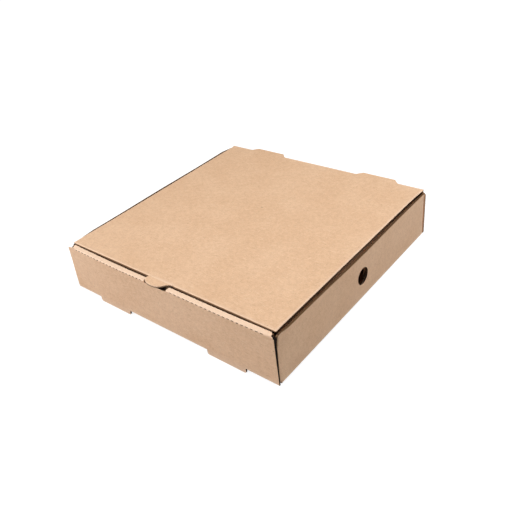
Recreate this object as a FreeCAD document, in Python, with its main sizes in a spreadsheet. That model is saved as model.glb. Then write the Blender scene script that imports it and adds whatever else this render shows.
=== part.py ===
import FreeCAD, Part
import Sketcher
import math
import os
import re

# A square pizza box folded from one die-cut blank of thin corrugated board.
# The blank is two nodes, because its lid swings on the rear crease:
#   tray  base, side walls, corner flaps, rear wall and the rolled-over front wall
#   lid   top panel, side dust flaps, front tuck flap, thumb tab and two rear ears
# Millimetres. X runs along the front, Y from front to rear, Z up.
# The origin is the middle of the base's underside, so the front feet reach below it.

SIZES = {
    "box_width": 260.0,        # outside, over the side walls
    "box_depth": 260.0,        # outside, front face to rear face
    "board": 1.6,              # thickness of the board
    "crease": 0.6,             # inside radius of the folds along the base
    "base_round": 0.9,         # and their outside radius
    "corner_fold": 1.8,        # inside radius of the folds of the corner flaps
    "side_top": 49.0,          # top edge of the side walls
    "lid_top": 51.3,           # upper face of the lid
    "band_top": 50.4,          # upper face of the rolled-over front wall
    "band_round": 1.5,         # outside radius of its two upper folds
    "roll_depth": 5.8,         # front face to the rear face of the inner front wall
    "roll_width": 252.0,       # band and inner front wall, end to end
    "layer_gap": 0.5,          # between boards that lie face to face
    "free_edge": 0.3,          # between a cut edge and the board that it stands over
    "flap_lift": 2.4,          # lower edge of the corner flaps above the underside
    "front_flap": 46.0,        # length of a front corner flap, from the side wall's face
    "rear_flap": 27.0,         # length of a rear corner flap
    "flap_bevel": 9.0,         # clipped lower corner of a corner flap
    "foot_place": 73.0,        # middle of a foot from the middle of the box
    "foot_width": 44.0,
    "foot_drop": 4.8,          # below the base
    "foot_round": 2.0,
    "slot_spare": 0.4,         # room around a foot's cut-out and behind the lock tab
    "lock_width": 40.0,        # tab of the inner front wall, seated in a foot's cut-out
    "lock_round": 2.0,
    "vent_across": 17.5,       # round steam vent in each side wall
    "vent_place": 2.4,         # behind the middle of the wall
    "vent_height": 24.2,       # above the underside
    "notch_width": 28.6,       # thumb notch of the band
    "band_end_front": 0.8,     # the band's slanted end, from the side wall's face to its front fold
    "band_end_rear": 5.8,      # and to its rear fold
    "rear_clip": 4.0,          # clipped upper corners of the rear wall
    "ear_place": 73.0,         # middle of an ear from the middle of the box
    "ear_root": 50.0,
    "ear_tip": 37.5,
    "ear_length": 5.1,         # behind the rear face
    "ear_round": 1.5,
    "ear_room": 1.2,           # between an ear and its notch in the rear wall
    "lid_width": 253.0,        # outside, over the dust flaps
    "lid_setback": 7.8,        # front edge of the lid behind the front face
    "lid_round": 1.2,          # outside radius of the lid's folds
    "hinge_gap": 0.2,          # between the rear wall's top edge and the lid
    "dust_depth": 41.0,        # dust flap, from the lid's upper face down
    "dust_front": 12.5,        # its front edge behind the front face
    "dust_rear": 5.5,          # its rear edge before the rear face
    "dust_bevel": 9.0,         # clipped lower corners
    "arch_room": 5.0,          # of the dust flap's arch around the vent
    "tuck_depth": 38.0,        # front tuck flap, from the lid's upper face down
    "tuck_width": 244.0,
    "tuck_lean": 3.0,          # its lower edge leans in, so that it swings clear
    "tuck_round": 14.0,
    "thumb_width": 28.0,       # thumb tab at its root
    "thumb_tip": 18.0,
    "thumb_length": 8.7,
    "thumb_round": 7.0,
    "thumb_drop": 0.9,         # bent down, at its tip
}

# Places that several features share, as expressions of the sizes
SIDE = "box_width/2"
REAR = "box_depth/2"
FRONT = "(-box_depth/2)"
CORNER = "(board + corner_fold)"
FLAP_FRONT = "(-box_depth/2 + board + layer_gap)"
FLAP_REAR = "(box_depth/2 - board - layer_gap)"
ROLL_REAR = "(-box_depth/2 + roll_depth)"
ROLL_END = "(roll_width/2)"
BAND_UNDER = "(band_top - board)"
REAR_TOP = "(lid_top - board - hinge_gap)"
LID_UNDER = "(lid_top - board)"
LID_SIDE = "(lid_width/2)"
LID_FRONT = "(-box_depth/2 + lid_setback)"
DUST_FRONT = "(-box_depth/2 + dust_front)"
DUST_REAR = "(box_depth/2 - dust_rear)"
DUST_LOW = "(lid_top - dust_depth)"
TUCK_LOW = "(lid_top - tuck_depth)"
ARCH = "(vent_across/2 + arch_room)"

doc = FreeCAD.newDocument("pizza_box")
sheet = doc.addObject("Spreadsheet::Sheet", "sizes")
for row, (alias, size) in enumerate(SIZES.items(), start=1):
    sheet.set("A%d" % row, alias)
    sheet.set("B%d" % row, str(size))
    sheet.setAlias("B%d" % row, alias)
doc.recompute()
ANY_SIZE = re.compile("|".join(sorted(SIZES, key=len, reverse=True)))


def bound(text):
    """The expression with every size pointed at its cell of the sheet."""
    return ANY_SIZE.sub(lambda word: "sizes." + word.group(), text)


def number(text):
    """The present value of an expression."""
    return float(sheet.evalExpression(bound(text)))


def new_body(name):
    body = doc.addObject("PartDesign::Body", name)
    body.Label = name
    return body


def new_sketch(body, name, plane, offset):
    """A sketch on one of the body's own origin planes, moved along its normal."""
    sketch = body.newObject("Sketcher::SketchObject", name)
    support = [item for item in body.Origin.OriginFeatures if item.Role == plane][0]
    sketch.AttachmentSupport = [(support, "")]
    sketch.MapMode = "FlatFace"
    sketch.setExpression("AttachmentOffset.Base.z", bound(offset))
    return sketch


def tie(sketch, constraint, expression):
    """Add a dimension and bind it to the sizes."""
    index = sketch.addConstraint(constraint)
    sketch.setExpression("Constraints[%d]" % index, bound(expression))


def rounding(before, corner, after, radius):
    """The arc that rounds a corner, its ends, and whether it runs anticlockwise."""
    come = (corner - before).normalize()
    go = (after - corner).normalize()
    reach = radius * math.tan(come.getAngle(go) / 2)
    centre = corner + (go - come).normalize() * math.hypot(radius, reach)
    start, end = corner - come * reach, corner + go * reach
    left = come.cross(go).z > 0
    angles = [math.atan2(place.y - centre.y, place.x - centre.x) for place in (start, end)]
    circle = Part.Circle(centre, FreeCAD.Vector(0, 0, 1), radius)
    return Part.ArcOfCircle(circle, *(angles if left else reversed(angles))), start, end, left


def outline(sketch, corners):
    """A closed outline. Each corner is (x, y) or (x, y, radius), all expressions of the sizes."""
    places = [FreeCAD.Vector(number(corner[0]), number(corner[1]), 0) for corner in corners]
    count = len(corners)
    arcs = {}
    for i, corner in enumerate(corners):
        if len(corner) == 3:
            arcs[i] = rounding(places[i - 1], places[i], places[(i + 1) % count], number(corner[2]))
    lines = []
    for i in range(count):
        after = (i + 1) % count
        start = arcs[i][2] if i in arcs else places[i]
        end = arcs[after][1] if after in arcs else places[after]
        lines.append(sketch.addGeometry(Part.LineSegment(start, end), False))
    for i, corner in enumerate(corners):
        before, here = lines[i - 1], lines[i]
        if i in arcs:
            arc = sketch.addGeometry(arcs[i][0], False)
            first = 1 if arcs[i][3] else 2
            sketch.addConstraint(Sketcher.Constraint("Tangent", before, 2, arc, first))
            sketch.addConstraint(Sketcher.Constraint("Tangent", arc, 3 - first, here, 1))
            tie(sketch, Sketcher.Constraint("Radius", arc, number(corner[2])), corner[2])
            held = sketch.addGeometry(Part.Point(places[i]), True)
            sketch.addConstraint(Sketcher.Constraint("PointOnObject", held, 1, before))
            sketch.addConstraint(Sketcher.Constraint("PointOnObject", held, 1, here))
        else:
            sketch.addConstraint(Sketcher.Constraint("Coincident", before, 2, here, 1))
            held = here
        tie(sketch, Sketcher.Constraint("DistanceX", -1, 1, held, 1, places[i].x), corner[0])
        tie(sketch, Sketcher.Constraint("DistanceY", -1, 1, held, 1, places[i].y), corner[1])


def ring(sketch, middle, across):
    """A circle at a place, both expressions of the sizes."""
    centre = FreeCAD.Vector(number(middle[0]), number(middle[1]), 0)
    circle = sketch.addGeometry(Part.Circle(centre, FreeCAD.Vector(0, 0, 1), number(across) / 2), False)
    tie(sketch, Sketcher.Constraint("DistanceX", -1, 1, circle, 3, centre.x), middle[0])
    tie(sketch, Sketcher.Constraint("DistanceY", -1, 1, circle, 3, centre.y), middle[1])
    tie(sketch, Sketcher.Constraint("Diameter", circle, number(across)), across)


def extrude(kind, body, name, plane, draw, low, high):
    """Pad or pocket what draw puts in a sketch, from low to high along the plane's own axis."""
    offset = "-(%s)" % high if plane == "XZ_Plane" else low
    sketch = new_sketch(body, name + "_sketch", plane, offset)
    draw(sketch)
    doc.recompute()
    before = body.Shape.Volume if kind == "Pocket" else 0
    feature = body.newObject("PartDesign::" + kind, name)
    feature.Profile = sketch
    feature.Reversed = kind == "Pocket"
    feature.setExpression("Length", bound("(%s) - (%s)" % (high, low)))
    body.Tip = feature
    doc.recompute()
    if kind == "Pocket" and body.Shape.Volume > before - 0.01:
        raise ValueError(name + " removes nothing")


def add(body, name, plane, corners, low, high):
    extrude("Pad", body, name, plane, lambda sketch: outline(sketch, corners), low, high)


def cut(body, name, plane, corners, low, high):
    extrude("Pocket", body, name, plane, lambda sketch: outline(sketch, corners), low, high)


def round_edges(body, name, chosen, radius):
    """Fillet the edges that chosen picks by their two ends."""
    base, edges = body.Tip, []
    for i, edge in enumerate(base.Shape.Edges, start=1):
        ends = [vertex.Point for vertex in edge.Vertexes]
        if len(ends) == 2 and chosen(*ends):
            edges.append("Edge%d" % i)
    fillet = body.newObject("PartDesign::Fillet", name)
    fillet.Base = (base, edges)
    fillet.setExpression("Radius", bound(radius))
    body.Tip = fillet
    doc.recompute()


def handed(corners, side):
    """The same corners for side 1, and with X turned over for side -1."""
    return [("%d*(%s)" % (side, corner[0]),) + tuple(corner[1:]) for corner in corners]


def tab(middle, root, tip, base, end, radius):
    """Corners of a tab: root wide at its base, tip wide at its end, its free corners rounded."""
    return [
        ("%s - (%s)/2" % (middle, root), base),
        ("%s - (%s)/2" % (middle, tip), end, radius),
        ("%s + (%s)/2" % (middle, tip), end, radius),
        ("%s + (%s)/2" % (middle, root), base),
    ]


# Tray: each side wall runs round into its two corner flaps
tray = new_body("tray")
add(tray, "base_and_side_folds", "XZ_Plane", [
    ("-%s" % SIDE, "flap_lift"),
    ("-%s" % SIDE, "0", "base_round"),
    (SIDE, "0", "base_round"),
    (SIDE, "flap_lift"),
    ("%s - board" % SIDE, "flap_lift"),
    ("%s - board" % SIDE, "board", "crease"),
    ("-%s + board" % SIDE, "board", "crease"),
    ("-%s + board" % SIDE, "flap_lift"),
], "%s + board" % FLAP_FRONT, "%s - board" % FLAP_REAR)

for side, hand in ((1, "right"), (-1, "left")):
    add(tray, "side_wall_" + hand, "XY_Plane", handed([
        ("%s - front_flap" % SIDE, FLAP_FRONT),
        (SIDE, FLAP_FRONT, CORNER),
        (SIDE, FLAP_REAR, CORNER),
        ("%s - rear_flap" % SIDE, FLAP_REAR),
        ("%s - rear_flap" % SIDE, "%s - board" % FLAP_REAR),
        ("%s - board" % SIDE, "%s - board" % FLAP_REAR, "corner_fold"),
        ("%s - board" % SIDE, "%s + board" % FLAP_FRONT, "corner_fold"),
        ("%s - front_flap" % SIDE, "%s + board" % FLAP_FRONT),
    ], side), "flap_lift", "side_top")
    for end, length, low in (
            ("front", "front_flap", FLAP_FRONT),
            ("rear", "rear_flap", "%s - board" % FLAP_REAR)):
        tip = "%s - %s" % (SIDE, length)
        cut(tray, "%s_flap_bevel_%s" % (end, hand), "XZ_Plane", handed([
            ("%s - board" % tip, "board"),
            ("%s + flap_bevel" % tip, "board"),
            ("%s + flap_bevel" % tip, "flap_lift"),
            (tip, "flap_lift + 2*flap_bevel"),
            ("%s - board" % tip, "flap_lift + 2*flap_bevel"),
        ], side), low, "%s + board" % low)
    cut(tray, "front_flap_top_" + hand, "XZ_Plane", handed([
        ("%s - front_flap - board" % SIDE, "%s - free_edge" % BAND_UNDER),
        ("%s + free_edge" % ROLL_END, "%s - free_edge" % BAND_UNDER),
        ("%s + free_edge" % ROLL_END, "side_top + board"),
        ("%s - front_flap - board" % SIDE, "side_top + board"),
    ], side), FLAP_FRONT, "%s + board" % FLAP_FRONT)

# One strip of board makes the rear wall, the base, the front wall and the roll over the front flaps
add(tray, "rear_base_front_and_roll", "YZ_Plane", [
    (REAR, REAR_TOP),
    (REAR, "0", "base_round"),
    (FRONT, "0", "base_round"),
    (FRONT, "band_top", "band_round"),
    (ROLL_REAR, "band_top", "band_round"),
    (ROLL_REAR, "board + free_edge"),
    ("%s - board" % ROLL_REAR, "board + free_edge"),
    ("%s - board" % ROLL_REAR, BAND_UNDER),
    ("%s + board" % FRONT, BAND_UNDER),
    ("%s + board" % FRONT, "board", "crease"),
    ("%s - board" % REAR, "board", "crease"),
    ("%s - board" % REAR, REAR_TOP),
], "-%s" % ROLL_END, ROLL_END)

# The feet were cut out of the base, and the lock tabs sit in the holes that they left
for side, hand in ((1, "right"), (-1, "left")):
    cut(tray, "foot_cut_out_" + hand, "XY_Plane", handed(tab(
        "foot_place", "foot_width + 2*slot_spare", "foot_width + 2*slot_spare",
        "%s - board" % FRONT, "%s + slot_spare" % ROLL_REAR, "foot_round"), side), "-board", "flap_lift")

add(tray, "front_panel_and_fold", "YZ_Plane", [
    (FRONT, "0", "base_round"),
    (FRONT, "band_top", "band_round"),
    (FLAP_FRONT, "band_top"),
    (FLAP_FRONT, BAND_UNDER),
    ("%s + board" % FRONT, BAND_UNDER),
    ("%s + board" % FRONT, "0"),
], "-%s" % SIDE, SIDE)

for side, hand in ((1, "right"), (-1, "left")):
    add(tray, "foot_" + hand, "XZ_Plane", handed(tab(
        "foot_place", "foot_width", "foot_width", "board", "-foot_drop", "foot_round"), side),
        FRONT, "%s + board" % FRONT)
    add(tray, "lock_tab_" + hand, "XZ_Plane", handed(tab(
        "foot_place", "lock_width", "lock_width", "flap_lift + board", "free_edge", "lock_round"), side),
        "%s - board" % ROLL_REAR, ROLL_REAR)

for side, hand in ((1, "right"), (-1, "left")):
    cut(tray, "band_end_" + hand, "XY_Plane", handed([
        ("%s - band_end_front + roll_depth" % SIDE, FRONT),
        ("%s - band_end_front" % SIDE, FRONT),
        ("%s - band_end_rear" % SIDE, ROLL_REAR),
        ("%s - band_end_rear + roll_depth" % SIDE, ROLL_REAR),
    ], side), "%s - free_edge" % BAND_UNDER, "band_top + board")

add(tray, "rear_panel", "YZ_Plane", [
    (REAR, REAR_TOP),
    (REAR, "0", "base_round"),
    ("%s - board" % REAR, "0"),
    ("%s - board" % REAR, REAR_TOP),
], "-%s" % SIDE, SIDE)
for side, hand in ((1, "right"), (-1, "left")):
    cut(tray, "rear_clip_" + hand, "XZ_Plane", handed([
        ("%s - rear_clip" % SIDE, REAR_TOP),
        (SIDE, "%s - rear_clip" % REAR_TOP),
        ("%s + board" % SIDE, "%s - rear_clip" % REAR_TOP),
        ("%s + board" % SIDE, "%s + board" % REAR_TOP),
        ("%s - rear_clip" % SIDE, "%s + board" % REAR_TOP),
    ], side), "%s - board" % REAR, REAR)

# The ears were cut out of the rear wall
for side, hand in ((1, "right"), (-1, "left")):
    cut(tray, "ear_notch_" + hand, "XZ_Plane", handed(tab(
        "ear_place", "ear_root + 2*ear_room", "ear_tip + 2*ear_room",
        "lid_top", "lid_top - ear_length - ear_room", "ear_round"), side), "%s - board" % REAR, REAR)

cut(tray, "thumb_notch", "XY_Plane", [
    ("-notch_width/2", ROLL_REAR),
    ("-notch_width/2", FRONT),
    ("notch_width/2", FRONT),
    ("notch_width/2", ROLL_REAR),
], "%s - free_edge" % BAND_UNDER, "band_top + board")

extrude("Pocket", tray, "steam_vents", "YZ_Plane",
        lambda sketch: ring(sketch, ("vent_place", "vent_height"), "vent_across"),
        "-%s - board" % SIDE, "%s + board" % SIDE)

# Lid: a panel with three flaps folded down inside the walls
lid = new_body("lid")
add(lid, "panel", "XY_Plane", [
    ("-%s" % LID_SIDE, LID_FRONT),
    (LID_SIDE, LID_FRONT),
    (LID_SIDE, REAR),
    ("-%s" % LID_SIDE, REAR),
], LID_UNDER, "lid_top")

for side, hand in ((1, "right"), (-1, "left")):
    low, high = sorted(("%d*%s" % (side, LID_SIDE), "%d*(%s - board)" % (side, LID_SIDE)), key=number)
    add(lid, "dust_flap_" + hand, "YZ_Plane", [
        (DUST_FRONT, "lid_top"),
        (DUST_FRONT, "%s + 2*dust_bevel" % DUST_LOW),
        ("%s + dust_bevel" % DUST_FRONT, DUST_LOW, "dust_bevel/2"),
        ("%s - dust_bevel" % DUST_REAR, DUST_LOW, "dust_bevel/2"),
        (DUST_REAR, "%s + 2*dust_bevel" % DUST_LOW),
        (DUST_REAR, "lid_top"),
    ], low, high)

cut(lid, "vent_arches", "YZ_Plane", [
    ("vent_place - %s" % ARCH, "%s - board" % DUST_LOW),
    ("vent_place - %s" % ARCH, "vent_height + %s" % ARCH, "%s - layer_gap" % ARCH),
    ("vent_place + %s" % ARCH, "vent_height + %s" % ARCH, "%s - layer_gap" % ARCH),
    ("vent_place + %s" % ARCH, "%s - board" % DUST_LOW),
], "-%s - board" % LID_SIDE, "%s + board" % LID_SIDE)

add(lid, "tuck_flap", "YZ_Plane", [
    (LID_FRONT, "lid_top"),
    (LID_FRONT, LID_UNDER),
    ("%s + tuck_lean" % LID_FRONT, TUCK_LOW),
    ("%s + tuck_lean + board" % LID_FRONT, TUCK_LOW),
    ("%s + board" % LID_FRONT, LID_UNDER),
    ("%s + board" % LID_FRONT, "lid_top"),
], "-tuck_width/2", "tuck_width/2")


def meet(value, other):
    """Whether two coordinates are the same place."""
    return abs(value - other) < 0.001


def at_tuck_corner(start, end):
    low = number(TUCK_LOW)
    return meet(start.z, low) and meet(end.z, low) and not meet(start.y, end.y)


def on_lid_rim(start, end):
    top, edge = number("lid_top"), number(LID_SIDE)
    if not meet(start.z, top) or not meet(end.z, top):
        return False
    if meet(start.x, end.x):
        return meet(abs(start.x), edge)
    return meet(start.y, end.y) and (meet(start.y, number(LID_FRONT)) or meet(start.y, number(REAR)))


round_edges(lid, "tuck_corners", at_tuck_corner, "tuck_round")
round_edges(lid, "lid_folds", on_lid_rim, "lid_round")

for side, hand in ((1, "right"), (-1, "left")):
    add(lid, "ear_" + hand, "XY_Plane", handed(tab(
        "ear_place", "ear_root", "ear_tip",
        "%s - board" % REAR, "%s + ear_length" % REAR, "ear_round"), side), LID_UNDER, "lid_top")

# Thumb tab: a bent strip trimmed to a half-moon, and the hole that it leaves in the tuck flap
add(lid, "thumb_strip", "YZ_Plane", [
    ("%s + 2*board" % LID_FRONT, "lid_top"),
    (LID_FRONT, "lid_top"),
    ("%s - thumb_length" % LID_FRONT, "lid_top - thumb_drop"),
    ("%s - thumb_length" % LID_FRONT, "%s - thumb_drop" % LID_UNDER),
    (LID_FRONT, LID_UNDER),
    ("%s + 2*board" % LID_FRONT, LID_UNDER),
], "-thumb_width/2", "thumb_width/2")
for side, hand in ((1, "right"), (-1, "left")):
    cut(lid, "thumb_curve_" + hand, "XY_Plane", handed([
        ("thumb_width/2", LID_FRONT),
        ("thumb_tip/2", "%s - thumb_length" % LID_FRONT, "thumb_round"),
        ("0", "%s - thumb_length" % LID_FRONT),
        ("0", "%s - thumb_length - board" % LID_FRONT),
        ("thumb_width/2 + board", "%s - thumb_length - board" % LID_FRONT),
        ("thumb_width/2 + board", LID_FRONT),
    ], side), "%s - thumb_drop - board" % LID_UNDER, "lid_top + board")
cut(lid, "thumb_hole", "XZ_Plane", tab(
    "0", "thumb_width", "thumb_tip", LID_UNDER, "%s - thumb_length" % LID_UNDER, "thumb_round"),
    LID_FRONT, "%s + tuck_lean + 2*board" % LID_FRONT)

# Check every object, then write one file for each node
doc.recompute()
for item in doc.Objects:
    if "Invalid" in item.State or "Error" in item.State:
        raise ValueError("%s failed: %s" % (item.Name, item.State))
os.makedirs("parts", exist_ok=True)
for body in (tray, lid):
    shape = body.Shape
    if shape.isNull() or not shape.isValid() or len(shape.Solids) != 1:
        raise ValueError(body.Label + " is not one valid solid")
    shape.exportStep("parts/%s.step" % body.Label)
    box = shape.BoundBox
    print(body.Label, "volume %.0f mm3" % shape.Volume, "box", [round(v, 2) for v in (
        box.XMin, box.XMax, box.YMin, box.YMax, box.ZMin, box.ZMax)])
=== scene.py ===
import bmesh
import bpy
import math
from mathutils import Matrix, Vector
from mathutils.bvhtree import BVHTree

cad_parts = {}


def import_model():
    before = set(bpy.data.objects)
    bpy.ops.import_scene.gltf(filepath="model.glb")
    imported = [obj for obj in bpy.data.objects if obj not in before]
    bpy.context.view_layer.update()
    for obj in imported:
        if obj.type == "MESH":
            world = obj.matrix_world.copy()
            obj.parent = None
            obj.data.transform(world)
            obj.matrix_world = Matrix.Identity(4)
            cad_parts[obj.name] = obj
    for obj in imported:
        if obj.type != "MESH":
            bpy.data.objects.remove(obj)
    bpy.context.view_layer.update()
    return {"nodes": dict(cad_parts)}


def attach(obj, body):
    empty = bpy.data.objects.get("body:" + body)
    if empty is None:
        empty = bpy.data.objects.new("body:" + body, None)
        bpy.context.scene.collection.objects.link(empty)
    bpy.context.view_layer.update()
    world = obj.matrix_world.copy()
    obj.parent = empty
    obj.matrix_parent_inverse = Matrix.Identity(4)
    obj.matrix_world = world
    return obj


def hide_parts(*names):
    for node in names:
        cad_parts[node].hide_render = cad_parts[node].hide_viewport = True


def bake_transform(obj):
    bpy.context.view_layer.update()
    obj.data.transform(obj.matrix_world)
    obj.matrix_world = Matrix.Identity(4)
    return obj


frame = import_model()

MM = 0.001                  # metres in a millimetre

# Camera, matched to the photograph's edges
CAMERA_PLACE = (0.35111, -0.37768, 0.35419)
CAMERA_TURN = (55.515, 6.267, 38.310)       # degrees
CAMERA_LENS = 41.606
SENSOR = 36.0
CLIP = (0.01, 50.0)

# Lamps: name, place, size, power and colour
LAMPS = [
    ("key_left", (-1.3, -0.45, 0.9), 0.6, 3.6, (1.0, 0.93, 0.82)),
    ("front_left", (-0.55, -1.0, 0.5), 0.5, 9.4, (0.98, 0.99, 1.07)),
    ("above_right", (0.3, 0.05, 0.9), 0.4, 4.3, (1.0, 1.0, 0.98)),
    ("rear_right", (0.95, 0.75, 0.45), 0.5, 6.4, (0.98, 1.0, 1.10)),
]
LAMP_TARGET = (0, 0, 0.02)
ROOM_LIGHT = 0.12

# Floor
FLOOR_REACH = 4.0           # metres, middle to edge
FLOOR_PAINT = 0.35          # as the lamps and the box meet it
FLOOR_SHADOW = 0.3          # as the camera sees it, over its glow
FLOOR_GLOW = 0.90
FLOOR_GLOW_FAR = 0.12       # added away from the box
FLOOR_BLEND = (0.3, 1.3)    # metres, over which it is added

# The box, in millimetres of the part's frame
HALF = 130.0                # middle to the outer faces
BOARD = 1.6
FEET = -4.8                 # bottom of the feet
LID_TOP = 51.3
LID_UNDER = 49.7
LID_FRONT = -122.2
LID_SIDE = 126.5            # middle to the outer faces of the dust flaps
EAR_IN, EAR_OUT = 48.0, 98.0
EAR_GAP = 0.3               # between an ear and a crease piece
PANEL_BACK = -128.395       # all board behind the outer front wall lies behind this
FLAP_MIDDLE = 127.1         # middle of the corner flaps' board
CORNER = (126.6, -124.99)   # centre of a side wall's front corner fold
CORNER_SIZE = 3.405         # its outer radius, with a little room
VENT = (2.4, 24.2)          # middle of the steam vents
VENT_REACH = 9.0            # their radius and a little more
NOTCH_HALF = 14.0           # a little less than half of the thumb notch

# Working on the meshes
WELD = 0.0005               # closer points are one
FLAT = 0.002                # radians, below which faces are one
SMOOTH = 34                 # degrees, above which an edge is sharp

# Cuts that let flat faces bend and carry marks
GRID = 6.5
TRAY_CUTS_X = [-128.2, 128.2, -128.7, 128.7, -129.75, 129.75]
TRAY_CUTS_Y = [-125.0, 124.9, -124.0]
TRAY_CUTS_Z = [48.0, 48.85]
GAP_CUTS_Y = [-129.88, -129.7, -128.0, -127.6, -127.25, -126.9, -126.5, -126.1]
LID_CUTS_X = [-125.6, 125.6]
LID_CUTS_Z = [15.0, 25.0, 35.0, 45.0, 48.0, 50.4, 50.9]

# The crease pieces
HINGE_TRAY = 46.6           # they start here on the rear wall
HINGE_LID = 126.6           # and end here on the lid
HINGE_FROM = (0.0, 128.4, HINGE_TRAY)   # place, direction and length of the bend
HINGE_WAY = (0.0, -0.6, 0.8)
HINGE_RUN = 3.56
CREASE_RANGES = {
    "left": (-LID_SIDE, -EAR_OUT - EAR_GAP),
    "middle": (-EAR_IN + EAR_GAP, EAR_IN - EAR_GAP),
    "right": (EAR_OUT + EAR_GAP, LID_SIDE),
}

# Perforation along the front wall's upper crease
SLIT_Z = (49.05, 49.68)
SLIT_STEP = 4.85            # from one slit to the next
SLIT_LONG = 2.5
SLIT_FROM, SLIT_TO = -117.0, 118.0
SLIT_SKIP = 17.5            # none within this of the middle

# How the folded board departs from flat panels
FRONT_LEAN = 1.4            # the front wall's upper ends, back
FRONT_WAVE = 0.35
PANEL_PULL_LEFT = 0.8       # the front wall's upper ends, inward
PANEL_PULL_RIGHT = 1.4
SIDE_PULL = 1.7             # the side walls' front ends, inward
SIDE_WAVE = 0.45
NOTCH_SHIFT = 2.2           # the thumb notch, to the left
CORNER_DROP = 1.7           # the side walls' upper front corners, down
RIGHT_SAG = 1.2             # the right wall's upper edge, down
LEFT_RISE = 1.6             # the left wall's upper edge, up
LID_SHIFT = 0.18            # the lid, to the right
LID_TURN = 0.15             # and further at the rear
LID_LEFT = 0.6              # its left edge, outward
LID_LEFT_FRONT = 1.0        # and further at the front
LID_RIGHT_REAR = 1.3        # its right edge, outward at the rear
LID_DISH = 0.35             # its middle, down
LID_WAVE = 0.12
FLAP_STEP = 1.3             # the dust flaps, inward below the lid's rim
FLAP_LEAN = 0.05            # and further with each millimetre down

# The thumb tab
THUMB_OUTLINE = [
    (13.3, -121.9), (10.6, -123.2), (7.9, -125.0), (4.8, -127.9), (1.3, -129.9), (-2.7, -130.7),
    (-7.7, -130.75), (-12.1, -130.0), (-15.1, -128.3), (-16.5, -125.3), (-15.6, -122.0),
]
THUMB_ROOT = -120.8
THUMB_RIGHT = 13.0          # right end of its root
THUMB_WIDTH = 28.4
THUMB_FLAT = -121.6         # where its dip starts
THUMB_LONG = 9.3            # from there to its tip
THUMB_ROWS = 9
THUMB_DIP = 0.95            # its tip, down
THUMB_SHIFT = 0.4           # to the left

# Raw edges: the wave of the medium, and the slots of the materials on each piece
FLUTE_LONG = 3.3
FLUTE_HIGH = 0.42
CUT_SLOT = 1
OPEN_SLOT = 2

# One dark speck in the lid's liner, in metres
SPECK = (0.0, 0.023, 0.051)

# Linear colours of the liner, of its pale creases with painted highlight, and of painted shade
LINER_LOW, LINER_HIGH = (0.800, 0.520, 0.318), (0.845, 0.566, 0.358)
MOTTLE = (0.60, 0.36, 0.21)
GRAIN_DARK, GRAIN_PALE = (0.55, 0.33, 0.19), (0.97, 0.72, 0.50)
FIBRE_DARK, FIBRE_PALE = (0.52, 0.30, 0.17), (0.97, 0.74, 0.53)
FLECK = (0.30, 0.17, 0.09)
SPECK_COLOUR = (0.12, 0.06, 0.03)
CREASE_AND_HIGHLIGHT = (0.985, 0.745, 0.555)
SHADE_BROWN = (0.17, 0.085, 0.035)
SHADE_BLACK = (0.014, 0.007, 0.004)


# Camera, lamps and studio
def camera():
    data = bpy.data.cameras.new("camera")
    data.lens = CAMERA_LENS
    data.sensor_width = SENSOR
    data.clip_start, data.clip_end = CLIP
    made = bpy.data.objects.new("camera", data)
    made.location = CAMERA_PLACE
    made.rotation_euler = [math.radians(angle) for angle in CAMERA_TURN]
    bpy.context.scene.collection.objects.link(made)
    bpy.context.scene.camera = made


def lamp(name, place, size, power, colour):
    data = bpy.data.lights.new(name, "AREA")
    data.shape = "DISK"
    data.size = size
    data.energy = power
    data.color = colour
    made = bpy.data.objects.new(name, data)
    made.location = place
    made.rotation_euler = (Vector(LAMP_TARGET) - Vector(place)).to_track_quat("-Z", "Y").to_euler()
    bpy.context.scene.collection.objects.link(made)


class Nodes:
    """Short calls for building a node tree. Numbers, colours and sockets can all be passed as values."""

    def __init__(self, tree):
        self.tree = tree

    def add(self, kind, **settings):
        node = self.tree.nodes.new(kind)
        for name, value in settings.items():
            setattr(node, name, value)
        return node

    def link(self, source, target):
        self.tree.links.new(source, target)

    def math(self, operation, *values, clamp=False):
        node = self.add("ShaderNodeMath", operation=operation, use_clamp=clamp)
        for socket, value in zip(node.inputs, values):
            if isinstance(value, (int, float)):
                socket.default_value = value
            else:
                self.link(value, socket)
        return node.outputs[0]

    def mix(self, factor, first, second):
        node = self.add("ShaderNodeMix", data_type="RGBA")
        sockets = {socket.identifier: socket for socket in node.inputs}
        for name, value in (("Factor_Float", factor), ("A_Color", first), ("B_Color", second)):
            if isinstance(value, (int, float)):
                sockets[name].default_value = value
            elif isinstance(value, tuple):
                sockets[name].default_value = value + (1.0,)
            else:
                self.link(value, sockets[name])
        return [socket for socket in node.outputs if socket.identifier == "Result_Color"][0]

    def noise(self, place, scale, detail, roughness=0.5):
        node = self.add("ShaderNodeTexNoise")
        node.inputs["Scale"].default_value = scale
        node.inputs["Detail"].default_value = detail
        node.inputs["Roughness"].default_value = roughness
        self.link(place, node.inputs["Vector"])
        return node.outputs[0]

    def ramp(self, value, low, high):
        """0 at low, 1 at high, smooth between. Low may be above high."""
        node = self.add("ShaderNodeMapRange", interpolation_type="SMOOTHSTEP")
        node.inputs["From Min"].default_value = low
        node.inputs["From Max"].default_value = high
        self.link(value, node.inputs["Value"])
        return node.outputs["Result"]

    def scaled(self, place, scale, turn):
        node = self.add("ShaderNodeMapping")
        node.inputs["Scale"].default_value = scale
        node.inputs["Rotation"].default_value = turn
        self.link(place, node.inputs["Vector"])
        return node.outputs["Vector"]


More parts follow.
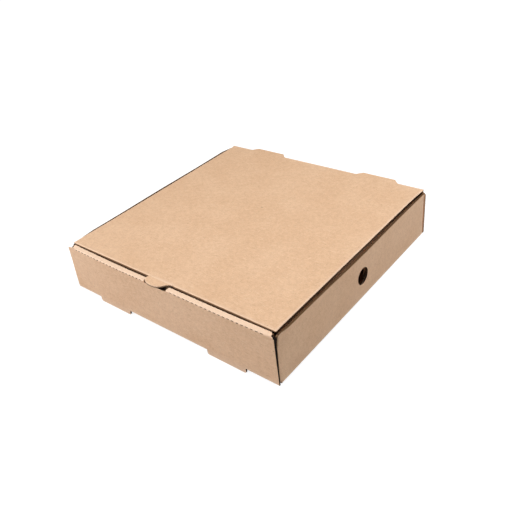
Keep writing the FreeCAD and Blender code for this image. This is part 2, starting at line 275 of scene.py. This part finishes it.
def world():
    """Plain dim light all round, and white where the camera looks past the floor."""
    made = bpy.data.worlds.new("studio")
    bpy.context.scene.world = made
    made.use_nodes = True
    made.node_tree.nodes.clear()
    tree = Nodes(made.node_tree)
    out = tree.add("ShaderNodeOutputWorld")
    room = tree.add("ShaderNodeBackground")
    room.inputs["Color"].default_value = (1.0, 1.0, 1.0, 1.0)
    room.inputs["Strength"].default_value = ROOM_LIGHT
    seen = tree.add("ShaderNodeBackground")
    seen.inputs["Color"].default_value = (1.0, 1.0, 1.0, 1.0)
    seen.inputs["Strength"].default_value = 1.0
    path = tree.add("ShaderNodeLightPath")
    mix = tree.add("ShaderNodeMixShader")
    tree.link(path.outputs["Is Camera Ray"], mix.inputs["Fac"])
    tree.link(room.outputs["Background"], mix.inputs[1])
    tree.link(seen.outputs["Background"], mix.inputs[2])
    tree.link(mix.outputs["Shader"], out.inputs["Surface"])


def floor():
    """A pale floor through the feet and the rear bottom edge, on which the box leans back a little."""
    slope = -FEET / (2 * HALF)
    level = FEET * MM / 2
    corners = [(-FLOOR_REACH, -FLOOR_REACH), (FLOOR_REACH, -FLOOR_REACH),
               (FLOOR_REACH, FLOOR_REACH), (-FLOOR_REACH, FLOOR_REACH)]
    mesh = bpy.data.meshes.new("floor")
    mesh.from_pydata([(x, y, level + slope * y) for x, y in corners], [], [(0, 1, 2, 3)])
    made = bpy.data.objects.new("floor", mesh)
    bpy.context.scene.collection.objects.link(made)
    material = bpy.data.materials.new("floor")
    material.use_nodes = True
    material.node_tree.nodes.clear()
    tree = Nodes(material.node_tree)
    out = tree.add("ShaderNodeOutputMaterial")
    paint = tree.add("ShaderNodeBsdfDiffuse")
    paint.inputs["Color"].default_value = (FLOOR_PAINT,) * 3 + (1.0,)
    shadow = tree.add("ShaderNodeBsdfDiffuse")
    shadow.inputs["Color"].default_value = (FLOOR_SHADOW,) * 3 + (1.0,)
    glow = tree.add("ShaderNodeEmission")
    glow.inputs["Color"].default_value = (1.0, 1.0, 1.0, 1.0)
    away = tree.add("ShaderNodeVectorMath", operation="LENGTH")
    tree.link(tree.add("ShaderNodeTexCoord").outputs["Object"], away.inputs[0])
    far = tree.ramp(away.outputs["Value"], *FLOOR_BLEND)
    tree.link(tree.math("MULTIPLY_ADD", far, FLOOR_GLOW_FAR, FLOOR_GLOW), glow.inputs["Strength"])
    both = tree.add("ShaderNodeAddShader")
    path = tree.add("ShaderNodeLightPath")
    mix = tree.add("ShaderNodeMixShader")
    tree.link(shadow.outputs["BSDF"], both.inputs[0])
    tree.link(glow.outputs["Emission"], both.inputs[1])
    tree.link(path.outputs["Is Camera Ray"], mix.inputs["Fac"])
    tree.link(paint.outputs["BSDF"], mix.inputs[1])
    tree.link(both.outputs["Shader"], mix.inputs[2])
    tree.link(mix.outputs["Shader"], out.inputs["Surface"])
    made.data.materials.append(material)


# Materials
def shaded(tree, colour, painted_shade):
    """Painted shade: brown where the mark is half, nearly black where it is whole."""
    colour = tree.mix(tree.math("MULTIPLY", painted_shade, 2.0, clamp=True), colour, SHADE_BROWN)
    rest = tree.math("SUBTRACT", tree.math("MULTIPLY", painted_shade, 2.0), 1.0, clamp=True)
    return tree.mix(rest, colour, SHADE_BLACK)


def kraft():
    """Brown kraft liner: soft mottling, fine fibres, pale and dark flecks, flute lines, pale creases with
    painted highlight, and painted shade.
    """
    material = bpy.data.materials.new("kraft_liner")
    material.use_nodes = True
    tree = Nodes(material.node_tree)
    shader = material.node_tree.nodes["Principled BSDF"]
    shader.inputs["Roughness"].default_value = 0.82
    shader.inputs["Specular IOR Level"].default_value = 0.22
    place = tree.add("ShaderNodeTexCoord").outputs["Object"]

    def tint(colour, mask, strength, other):
        return tree.mix(tree.math("MULTIPLY", mask, strength), colour, other)

    # Clouds, mottling and grain
    cloud = tree.noise(place, 28.0, 3.0)
    mottle = tree.noise(place, 240.0, 3.0, 0.6)
    grain = tree.noise(place, 950.0, 2.0, 0.7)
    colour = tree.mix(tree.ramp(cloud, 0.3, 0.7), LINER_LOW, LINER_HIGH)
    colour = tree.mix(tree.ramp(mottle, 0.34, 0.66), tree.mix(0.24, colour, MOTTLE), colour)
    colour = tint(colour, tree.ramp(grain, 0.52, 0.74), 0.42, GRAIN_DARK)
    colour = tint(colour, tree.ramp(grain, 0.44, 0.26), 0.46, GRAIN_PALE)

    # Fibres in three directions
    height = grain
    for turn, seed in ((0.35, 3.1), (1.25, 7.7), (2.3, 12.9)):
        moved = tree.add("ShaderNodeVectorMath", operation="ADD")
        moved.inputs[1].default_value = (seed, seed * 0.7, -seed)
        tree.link(place, moved.inputs[0])
        sheet = tree.scaled(moved.outputs[0], (170.0, 1500.0, 900.0), (turn * 0.4, 0.0, turn))
        strand = tree.noise(sheet, 1.0, 1.0)
        colour = tint(colour, tree.ramp(strand, 0.66, 0.76), 0.30, FIBRE_DARK)
        colour = tint(colour, tree.ramp(strand, 0.34, 0.25), 0.30, FIBRE_PALE)
        height = tree.math("ADD", height, tree.math("MULTIPLY", strand, 0.5))

    # Round dark flecks in a fifth of the cells, and the one speck
    fleck = tree.add("ShaderNodeTexVoronoi", feature="F1")
    fleck.inputs["Scale"].default_value = 125.0
    tree.link(tree.scaled(place, (1.0, 1.35, 1.0), (0.3, 0.2, 0.6)), fleck.inputs["Vector"])
    pick = tree.add("ShaderNodeSeparateColor")
    tree.link(fleck.outputs["Color"], pick.inputs[0])
    near = tree.ramp(fleck.outputs["Distance"], 0.075, 0.045)
    some = tree.math("GREATER_THAN", pick.outputs[0], 0.80)
    colour = tint(colour, tree.math("MULTIPLY", near, some), 0.55, FLECK)
    speck = tree.add("ShaderNodeVectorMath", operation="DISTANCE")
    speck.inputs[1].default_value = SPECK
    tree.link(place, speck.inputs[0])
    colour = tree.mix(tree.ramp(speck.outputs["Value"], 0.0007, 0.0004), colour, SPECK_COLOUR)

    # Marks written on the mesh: pale creases with painted highlight, and painted shade
    crease = tree.add("ShaderNodeAttribute", attribute_name="crease").outputs["Fac"]
    colour = tint(colour, crease, 0.75, CREASE_AND_HIGHLIGHT)
    painted_shade = tree.add("ShaderNodeAttribute", attribute_name="painted_shade").outputs["Fac"]
    tree.link(shaded(tree, colour, painted_shade), shader.inputs["Base Color"])

    # Relief of the flutes and fibres
    wave = tree.add("ShaderNodeTexWave", wave_type="BANDS", bands_direction="Y")
    wave.inputs["Scale"].default_value = 48.0
    wave.inputs["Distortion"].default_value = 0.6
    tree.link(place, wave.inputs["Vector"])
    flutes = tree.math("MULTIPLY", wave.outputs["Fac"], 0.55)
    height = tree.math("ADD", tree.math("MULTIPLY", height, 0.35), flutes)
    height = tree.math("ADD", height, tree.math("MULTIPLY", mottle, 0.6))
    bump = tree.add("ShaderNodeBump")
    bump.inputs["Strength"].default_value = 0.22
    bump.inputs["Distance"].default_value = 0.00012
    tree.link(height, bump.inputs["Height"])
    tree.link(bump.outputs["Normal"], shader.inputs["Normal"])
    return material


def cut_edge(name, papers, hollow_shades, width):
    """The raw edge of fluted board: two liners and a wavy medium of the width, over hollows coloured as
    painted shade.
    """
    material = bpy.data.materials.new(name)
    material.use_nodes = True
    tree = Nodes(material.node_tree)
    shader = material.node_tree.nodes["Principled BSDF"]
    shader.inputs["Roughness"].default_value = 0.9
    shader.inputs["Specular IOR Level"].default_value = 0.15
    sheet = tree.add("ShaderNodeUVMap", uv_map="flute").outputs["UV"]
    parts = tree.add("ShaderNodeSeparateXYZ")
    tree.link(sheet, parts.inputs[0])
    along, across = parts.outputs[0], parts.outputs[1]
    place = tree.add("ShaderNodeTexCoord").outputs["Object"]
    wander = tree.math("MULTIPLY", tree.math("SUBTRACT", tree.noise(place, 300.0, 2.0), 0.5), 0.35)
    turn = tree.math("MULTIPLY", tree.math("ADD", along, wander), 2 * math.pi / FLUTE_LONG)
    middle = tree.math("MULTIPLY", tree.math("SINE", turn), FLUTE_HIGH)
    middle = tree.math("ADD", middle, tree.math("MULTIPLY", wander, 0.3))
    gap = tree.math("ABSOLUTE", tree.math("SUBTRACT", across, middle))
    medium = tree.ramp(gap, width * 2.4, width)
    liner = tree.ramp(tree.math("ABSOLUTE", across), 0.50, 0.62)
    solid = tree.math("MAXIMUM", medium, liner)
    fuzz = tree.noise(place, 2200.0, 2.0, 0.7)
    paper = tree.mix(tree.ramp(fuzz, 0.3, 0.7), *papers)
    hollow_shade = tree.mix(tree.ramp(fuzz, 0.3, 0.7), *hollow_shades)
    colour = tree.mix(solid, hollow_shade, paper)
    # Painted shade written on the mesh darkens the edge's colour
    painted_shade = tree.add("ShaderNodeAttribute", attribute_name="painted_shade").outputs["Fac"]
    tree.link(shaded(tree, colour, painted_shade), shader.inputs["Base Color"])
    bump = tree.add("ShaderNodeBump")
    bump.inputs["Strength"].default_value = 0.6
    bump.inputs["Distance"].default_value = 0.0003
    tree.link(tree.math("ADD", solid, tree.math("MULTIPLY", fuzz, 0.25)), bump.inputs["Height"])
    tree.link(bump.outputs["Normal"], shader.inputs["Normal"])
    return material


# Geometry
def ease(value, low, high):
    """0 at low, 1 at high, smooth between."""
    t = min(1.0, max(0.0, (value - low) / (high - low)))
    return t * t * (3 - 2 * t)


def clean_copy(name):
    """The node's mesh in millimetres, with its triangles merged into flat faces."""
    made = bmesh.new()
    made.from_mesh(frame["nodes"][name].data)
    bmesh.ops.scale(made, vec=(1 / MM,) * 3, verts=made.verts)
    bmesh.ops.remove_doubles(made, verts=made.verts, dist=0.0001)
    bmesh.ops.dissolve_limit(made, angle_limit=FLAT, verts=made.verts, edges=made.edges)
    return made


def carve(made, boxes):
    """Cut boxes out of the mesh, each given by its lowest and highest corners."""
    mesh = bpy.data.meshes.new("carved")
    made.to_mesh(mesh)
    made.free()
    body = bpy.data.objects.new("carved", mesh)
    tool = bmesh.new()
    for low, high in boxes:
        cube = bmesh.ops.create_cube(tool, size=1.0)["verts"]
        for vert in cube:
            vert.co = [low[i] if vert.co[i] < 0 else high[i] for i in range(3)]
    tool_mesh = bpy.data.meshes.new("cutter")
    tool.to_mesh(tool_mesh)
    tool.free()
    cutter = bpy.data.objects.new("cutter", tool_mesh)
    for item in (body, cutter):
        bpy.context.scene.collection.objects.link(item)
    cut = body.modifiers.new("cut", "BOOLEAN")
    cut.operation = "DIFFERENCE"
    cut.solver = "EXACT"
    cut.object = cutter
    result = bmesh.new()
    result.from_object(body, bpy.context.evaluated_depsgraph_get())
    for item in (body, cutter):
        data = item.data
        bpy.data.objects.remove(item)
        bpy.data.meshes.remove(data)
    bmesh.ops.remove_doubles(result, verts=result.verts, dist=WELD)
    bmesh.ops.dissolve_limit(result, angle_limit=FLAT, verts=result.verts, edges=result.edges)
    return result


def slice_up(made, axis, places):
    """Cut all faces along planes across the axis."""
    for place in places:
        point, normal = [0.0, 0.0, 0.0], [0.0, 0.0, 0.0]
        point[axis], normal[axis] = place, 1.0
        everything = made.verts[:] + made.edges[:] + made.faces[:]
        bmesh.ops.bisect_plane(made, geom=everything, plane_co=point, plane_no=normal, dist=WELD)


def even(low, high, step):
    """Even places from low to high, about a step apart."""
    count = max(1, round((high - low) / step))
    return [low + (high - low) * i / count for i in range(count + 1)]


def mark_edges(made):
    """Give raw edges their material slots, and write where each of their points lies in the fluting."""
    flute = made.loops.layers.uv.new("flute")
    tree = BVHTree.FromBMesh(made)
    for face in made.faces:
        centre = face.calc_center_median()
        normal = face.normal
        # The slanted ends of the rolled-over band
        in_band = abs(centre.x) > 120 and centre.y < -122 and 49.05 < centre.z < 50.45
        if in_band and abs(normal.x) > 0.45:
            face.material_index = OPEN_SLOT

        # A face with one thickness of board behind it is a liner
        hit = tree.ray_cast(centre - normal * 0.02, -normal)
        depth = hit[3] + 0.02 if hit[0] is not None else 999.0
        if BOARD * 0.75 < depth < BOARD * 1.55:
            continue

        # A raw edge is as wide as the board along one axis. The flutes run across the box, from side to side,
        # and so stand upright in the side walls and their corner flaps.
        for axis in range(3):
            if abs(normal[axis]) > 0.12:
                continue
            values = [vert.co[axis] for vert in face.verts]
            if abs(max(values) - min(values) - BOARD) > 0.14:
                continue
            middle = (max(values) + min(values)) / 2
            flap = axis == 1 and abs(abs(middle) - FLAP_MIDDLE) < 0.5
            run = {0: 1, 1: 0 if flap else 2, 2: 1}[axis]
            tunnel = {0: 2, 1: 2 if flap else 0, 2: 0}[axis]
            for loop in face.loops:
                loop[flute].uv = (loop.vert.co[run], loop.vert.co[axis] - middle)
            notch = abs(centre.x) < 20 and centre.y < -120
            # Faces that look into the flutes get the darker material, with painted shade in the openings
            open_flutes_painted_shade = abs(normal[tunnel]) > 0.5 and not notch
            face.material_index = OPEN_SLOT if open_flutes_painted_shade else CUT_SLOT
            break


def finish_piece(made, name, body, nodes=()):
    """Turn the mesh into an object that rides on a body."""
    bmesh.ops.recalc_face_normals(made, faces=made.faces)
    mesh = bpy.data.meshes.new(name)
    bmesh.ops.scale(made, vec=(MM,) * 3, verts=made.verts)
    for face in made.faces:
        face.smooth = True
    for edge in made.edges:
        edge.smooth = len(edge.link_faces) == 2 and edge.calc_face_angle(0.0) < math.radians(SMOOTH)
    made.to_mesh(mesh)
    made.free()
    mesh.materials.append(liner_material)
    mesh.materials.append(edge_material)
    mesh.materials.append(open_shade_material)
    piece = bpy.data.objects.new(name, mesh)
    bpy.context.scene.collection.objects.link(piece)
    if body:
        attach(piece, body)
    if nodes:
        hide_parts(*nodes)
    return piece


def sharpen(co):
    """Turn the side walls' wide round corner folds at the front into tighter ones."""
    x, y, z = co
    across, along = abs(x) - CORNER[0], CORNER[1] - y
    size = math.hypot(across, along)
    if across > 0.01 and along > 0.01 and size < CORNER_SIZE:
        ratio = ((across / size) ** 6 + (along / size) ** 6) ** (-1 / 6)
        x = math.copysign(CORNER[0] + across * ratio, x)
        y = CORNER[1] - along * ratio
    return Vector((x, y, z))


def bend_tray(co):
    """The tray's warps: each moves one wall and fades out before the next."""
    x, y, z = co
    rise = ease(z, 2.0, 49.0)

    # Outer front wall
    if y < PANEL_BACK:
        pull = PANEL_PULL_RIGHT if x > 0 else PANEL_PULL_LEFT
        x -= math.copysign(pull * ease(z, 2.0, 45.0) * ease(abs(x), 122.0, 130.0), x)

    # Rolled-over front as a whole
    y += FRONT_LEAN * (x / HALF) ** 2 * rise * (1 - ease(y, -123.6, -112.0))
    wave = math.sin(x / 31.0 + 0.8) * rise * (1 - ease(y, -128.0, -118.0)) * (1 - (x / HALF) ** 2)
    y += FRONT_WAVE * wave

    # Side walls
    side = ease(abs(x), 118.0, 127.5)
    pull = SIDE_PULL * math.exp(-((y + 126.0) / 9.0) ** 2) * rise
    if y > -128.0:
        x -= math.copysign(pull * side * ease(y, -128.2, -126.5), x)
    wave = (1 - math.cos(y / 21.0)) / 2 * rise * side * (1 - ease(abs(y), 90.0, 120.0))
    x -= math.copysign(SIDE_WAVE * wave, x)

    # Thumb notch
    if y < -120.0 and z > 46.0:
        x -= NOTCH_SHIFT * (1 - ease(abs(x), 17.0, 60.0)) * ease(z, 46.0, 48.0)

    # Upper edges of the side walls
    if abs(x) > 124.0 and PANEL_BACK < y < -121.0:
        z -= CORNER_DROP * (1 - ease(y, -127.4, -121.0)) * ease(z, 36.0, 49.0)
    if abs(x) > 126.0 and -118.0 < y < 126.0:
        high = ease(z, 30.0, 49.0)
        if x > 0:
            z -= RIGHT_SAG * math.sin(math.pi * (y + 118.0) / 244.0) ** 2 * high
        else:
            z += LEFT_RISE * ease(y, -118.0, -100.0) * (1 - ease(y, 112.0, 126.0)) * high
    return Vector((x, y, z))


def skew(x, y):
    """How far the lid lies to the right of the tray's middle."""
    left = -LID_LEFT - LID_LEFT_FRONT * (1 - ease(y, -125.0, -60.0))
    right = LID_RIGHT_REAR * ease(y, 100.0, 134.0)
    edges = left * ease(-x, 60.0, 126.0) + right * ease(x, 60.0, 126.0)
    return LID_SHIFT + LID_TURN * y / HALF + edges


def bend_lid(co):
    """The lid's shift, the lean of its dust flaps and the dish of its top."""
    x, y, z = co
    depth = LID_TOP - z
    move = skew(x, y)
    if abs(x) > 118.0 and y < 126.0:
        move -= math.copysign(FLAP_STEP * ease(depth, 0.5, 2.2) + FLAP_LEAN * depth, x)
    inside = (1 - ease(abs(x), 104.0, 124.0)) * (1 - ease(abs(y), 98.0, 119.0))
    if z > 48.0:
        wave = math.sin(x / 37.0 + 1.3) * math.sin(y / 43.0 + 0.4) + 0.5 * math.sin(x / 17.0 - y / 23.0)
        z -= LID_DISH * inside + abs(LID_WAVE * wave) * inside
    return Vector((x + move, y, z))


def write_marks(made, marks):
    """Write how much each point gets of the pale crease and painted highlight, and of painted shade."""
    crease = made.verts.layers.float.new("crease")
    painted_shade = made.verts.layers.float.new("painted_shade")
    for vert in made.verts:
        vert[crease], vert[painted_shade] = marks(*vert.co)


def tray_marks(x, y, z):
    """Pale creases, partly painted highlight, on the band, the rear corners and the lower edges; painted
    shade in the gaps and hollows.
    """
    band = 0.85 * (1 - ease(y, -123.9, -122.5)) * ease(z, 48.6, 50.0)
    corner = 0.35 * ease(abs(x), 128.0, 129.6) * ease(y, 122.5, 124.0)
    base = 0.45 * ease(max(abs(x), abs(y)), 128.9, 129.8) * (1 - ease(z, 0.6, 1.6))
    painted_shade = 0.0

    # Painted shade in the gap between the front wall's ends and the side walls, wider towards its top
    if abs(x) > 118.0 and z < 49.05 and -129.8 < y < -120.0:
        seam = -128.1 + 1.6 * ease(z, 0.0, 44.0) + 1.6 * ease(z, 43.0, 48.0)
        painted_shade = 1 - ease(y, seam - 0.1, seam + 0.25)

    # Painted shade on the upper edges of the side walls, under the lid, darkest at the front
    if abs(x) > 126.5 and z > 48.8 and -128.35 < y < 127.0:
        front = 0.4 * (1 - ease(y, -125.0, -122.0)) if z < 49.9 else 0.0
        painted_shade = max(painted_shade, 0.6 + front)

    # Painted shade, nearly black, inside the slits, the vents and the roll at the thumb notch
    if SLIT_Z[0] - 0.02 < z < SLIT_Z[1] + 0.02 and -129.72 < y < -128.9:
        painted_shade = 1.0
    if math.hypot(y - VENT[0], z - VENT[1]) < VENT_REACH and 128.6 < abs(x) < 129.8:
        painted_shade = 1.0
    if abs(x) < NOTCH_HALF and -129.72 < y < -124.0 and 44.0 < z < 50.3:
        painted_shade = 1.0

    # Painted shade on the inner front wall, under the lid's front edge
    if -125.6 < y < -124.0 and 44.0 < z < 50.1:
        painted_shade = 0.42 * ease(z, 44.0, 48.0)
    return max(band, corner, base), painted_shade


def lid_marks(x, y, z):
    """Pale creases with painted highlight along the lid's upper edges; painted shade on its sides just below
    them.
    """
    rim = max(ease(abs(x), 124.6, 126.0), 1 - ease(y, -121.9, -120.6)) * ease(z, 50.7, 51.15)
    painted_shade = 0.0
    if abs(x) > 125.9 or y < -121.9:
        shade = 0.7 if abs(x) > 125.9 else 0.42
        painted_shade = shade * (1 - ease(z, 50.4, 50.9)) * ease(z, 45.5, 48.0)
    return rim * 0.8, painted_shade


def build_tray():
    """The tray, with the rear wall's upper edge left to the crease pieces, and with the perforation."""
    boxes = [((low, 120.0, HINGE_TRAY), (high, 140.0, 60.0)) for low, high in CREASE_RANGES.values()]
    middle = SLIT_FROM + SLIT_LONG / 2
    while middle < SLIT_TO:
        if abs(middle) >= SLIT_SKIP:
            left, right = middle - SLIT_LONG / 2, middle + SLIT_LONG / 2
            boxes.append(((left, -131.0, SLIT_Z[0]), (right, -129.0, SLIT_Z[1])))
        middle += SLIT_STEP
    made = carve(clean_copy("tray"), boxes)
    slice_up(made, 0, even(-126.0, 126.0, GRID * 1.5) + TRAY_CUTS_X)
    slice_up(made, 1, even(-122.0, 122.0, GRID * 2) + TRAY_CUTS_Y)
    slice_up(made, 2, even(4.0, 46.0, GRID * 1.5) + TRAY_CUTS_Z)
    mark_edges(made)
    for vert in made.verts:
        vert.co = sharpen(vert.co)
    slice_up(made, 1, GAP_CUTS_Y)
    write_marks(made, tray_marks)
    for vert in made.verts:
        vert.co = bend_tray(vert.co)
    finish_piece(made, "tray_board", "tray", ["tray"])


def build_lid():
    """The lid, without its rear creases and its plain thumb tab."""
    boxes = []
    for low, high in CREASE_RANGES.values():
        left = low if low > -120 else -140.0
        right = high if high < 120 else 140.0
        boxes.append(((left, HINGE_LID, 40.0), (right, 132.0, 60.0)))
    boxes.append(((-20.0, -140.0, 40.0), (20.0, LID_FRONT - 0.05, 60.0)))
    made = carve(clean_copy("lid"), boxes)
    slice_up(made, 0, even(-124.0, 124.0, GRID * 2) + LID_CUTS_X)
    slice_up(made, 1, even(-119.0, 124.0, GRID * 2))
    slice_up(made, 2, LID_CUTS_Z)
    mark_edges(made)
    write_marks(made, lid_marks)
    for vert in made.verts:
        vert.co = bend_lid(vert.co)
    finish_piece(made, "lid_board", "lid", ["lid"])


def smooth_line(points, steps):
    """A curve through the points."""
    ends = [points[0]] + points + [points[-1]]
    line = []
    for i in range(1, len(ends) - 2):
        p0, p1, p2, p3 = [Vector(point) for point in ends[i - 1:i + 3]]
        for k in range(steps):
            t = k / steps
            line.append(0.5 * (2 * p1 + (p2 - p0) * t + (2 * p0 - 5 * p1 + 4 * p2 - p3) * t ** 2
                               + (3 * p1 - p0 - 3 * p2 + p3) * t ** 3))
    line.append(Vector(points[-1]))
    return line


def build_thumb_tab():
    """The lid's thumb tab: a shallow curved tongue that dips a little in front of the box."""
    outline = smooth_line(THUMB_OUTLINE, 4)
    made = bmesh.new()
    flute = made.loops.layers.uv.new("flute")
    crease = made.verts.layers.float.new("crease")
    painted_shade = made.verts.layers.float.new("painted_shade")
    columns = []
    length = 0.0
    for i, point in enumerate(outline):
        foot = Vector((THUMB_RIGHT - THUMB_WIDTH * i / (len(outline) - 1), THUMB_ROOT))
        if i:
            length += (point - outline[i - 1]).length
        column = []
        for k in range(THUMB_ROWS + 1):
            place = foot.lerp(point, k / THUMB_ROWS)
            dip = THUMB_DIP * max(0.0, (THUMB_FLAT - place.y) / THUMB_LONG) ** 1.6 + 0.02
            top = made.verts.new((place.x, place.y, LID_TOP - dip))
            low = made.verts.new((place.x, place.y, LID_UNDER - dip))
            # Painted highlight on the upper rim of the tab's tip, painted shade on its underside
            top[crease] = 0.55 if k == THUMB_ROWS else 0.0
            low[painted_shade] = 0.5
            column.append((top, low))
        columns.append((column, length))
    for (a, s), (b, t) in zip(columns, columns[1:]):
        for k in range(THUMB_ROWS):
            made.faces.new((a[k][0], a[k + 1][0], b[k + 1][0], b[k][0]))
            made.faces.new((a[k][1], b[k][1], b[k + 1][1], a[k + 1][1]))
        rim = made.faces.new((a[-1][0], a[-1][1], b[-1][1], b[-1][0]))
        rim.material_index = CUT_SLOT
        for loop, uv in zip(rim.loops, ((s, 0.8), (s, -0.8), (t, -0.8), (t, 0.8))):
            loop[flute].uv = uv
        made.faces.new((a[0][0], b[0][0], b[0][1], a[0][1]))
    for column, _ in (columns[0], columns[-1]):
        for k in range(THUMB_ROWS):
            made.faces.new((column[k][0], column[k + 1][0], column[k + 1][1], column[k][1]))
    for vert in made.verts:
        vert.co.x += skew(vert.co.x, vert.co.y) - THUMB_SHIFT
    finish_piece(made, "thumb_tab", "lid")


def build_creases():
    """The living hinge: the board's fold between the rear wall and the lid."""
    # Section of the fold, outer and inner face, from the rear wall to the lid
    outer = [(130.0, HINGE_TRAY), (130.0, 47.6), (130.0, 48.6), (129.9, 49.5), (129.94, 50.2), (129.7, 50.85),
             (129.1, 51.2), (128.4, 51.3), (127.8, 51.22), (127.2, 51.3), (HINGE_LID, LID_TOP)]
    inner = [(128.4, HINGE_TRAY), (128.4, 47.4), (128.4, 48.2), (128.38, 48.9), (128.3, 49.3), (128.1, 49.55),
             (127.8, 49.68), (127.5, 49.7), (127.2, 49.7), (126.9, 49.7), (HINGE_LID, LID_UNDER)]
    # Points of the fold painted pale, as crease and as painted highlight
    pale = (2, 3, 4, 7, 8)
    start = Vector(HINGE_FROM)
    end = start + Vector(HINGE_WAY) * HINGE_RUN
    fold = end - start
    for name, (low, high) in CREASE_RANGES.items():
        made = bmesh.new()
        flute = made.loops.layers.uv.new("flute")
        crease = made.verts.layers.float.new("crease")
        made.verts.layers.float.new("painted_shade")
        rings = []
        for x in even(low, high, GRID * 1.5):
            ring = []
            for k, (y, z) in enumerate(outer + inner[::-1]):
                weight = ease((Vector((0.0, y, z)) - start).dot(fold) / fold.length_squared, 0.0, 1.0)
                vert = made.verts.new((x + skew(x, HALF) * weight, y, z))
                vert[crease] = 0.5 if k in pale else 0.0
                ring.append(vert)
            rings.append(ring)
        size = len(rings[0])
        for a, b in zip(rings, rings[1:]):
            for k in range(size):
                made.faces.new((a[k], a[(k + 1) % size], b[(k + 1) % size], b[k]))
        half = size // 2
        for ring in (rings[0], rings[-1]):
            for k in range(half - 1):
                face = made.faces.new((ring[k], ring[k + 1], ring[size - 2 - k], ring[size - 1 - k]))
                face.material_index = OPEN_SLOT
                for loop in face.loops:
                    index = ring.index(loop.vert)
                    side = 0.8 if index < half else -0.8
                    step = index if index < half else size - 1 - index
                    loop[flute].uv = (step * 0.55, side)
        piece = finish_piece(made, "lid_crease_" + name, "")
        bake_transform(piece)


liner_material = kraft()
edge_material = cut_edge("cut_edge", ((0.80, 0.55, 0.36), (0.96, 0.72, 0.52)),
                         ((0.46, 0.28, 0.165), (0.62, 0.40, 0.25)), 0.22)
# The open flutes: near-black painted shade in their openings, and paper painted darker as shade
open_shade_material = cut_edge("open_flutes_painted_shade", ((0.42, 0.27, 0.165), (0.62, 0.42, 0.28)),
                         ((0.030, 0.017, 0.010), (0.075, 0.042, 0.024)), 0.10)
camera()
world()
floor()
for name, place, size, power, colour in LAMPS:
    lamp(name, place, size, power, colour)
build_tray()
build_lid()
build_thumb_tab()
build_creases()

bpy.context.scene.view_settings.view_transform = "Standard"
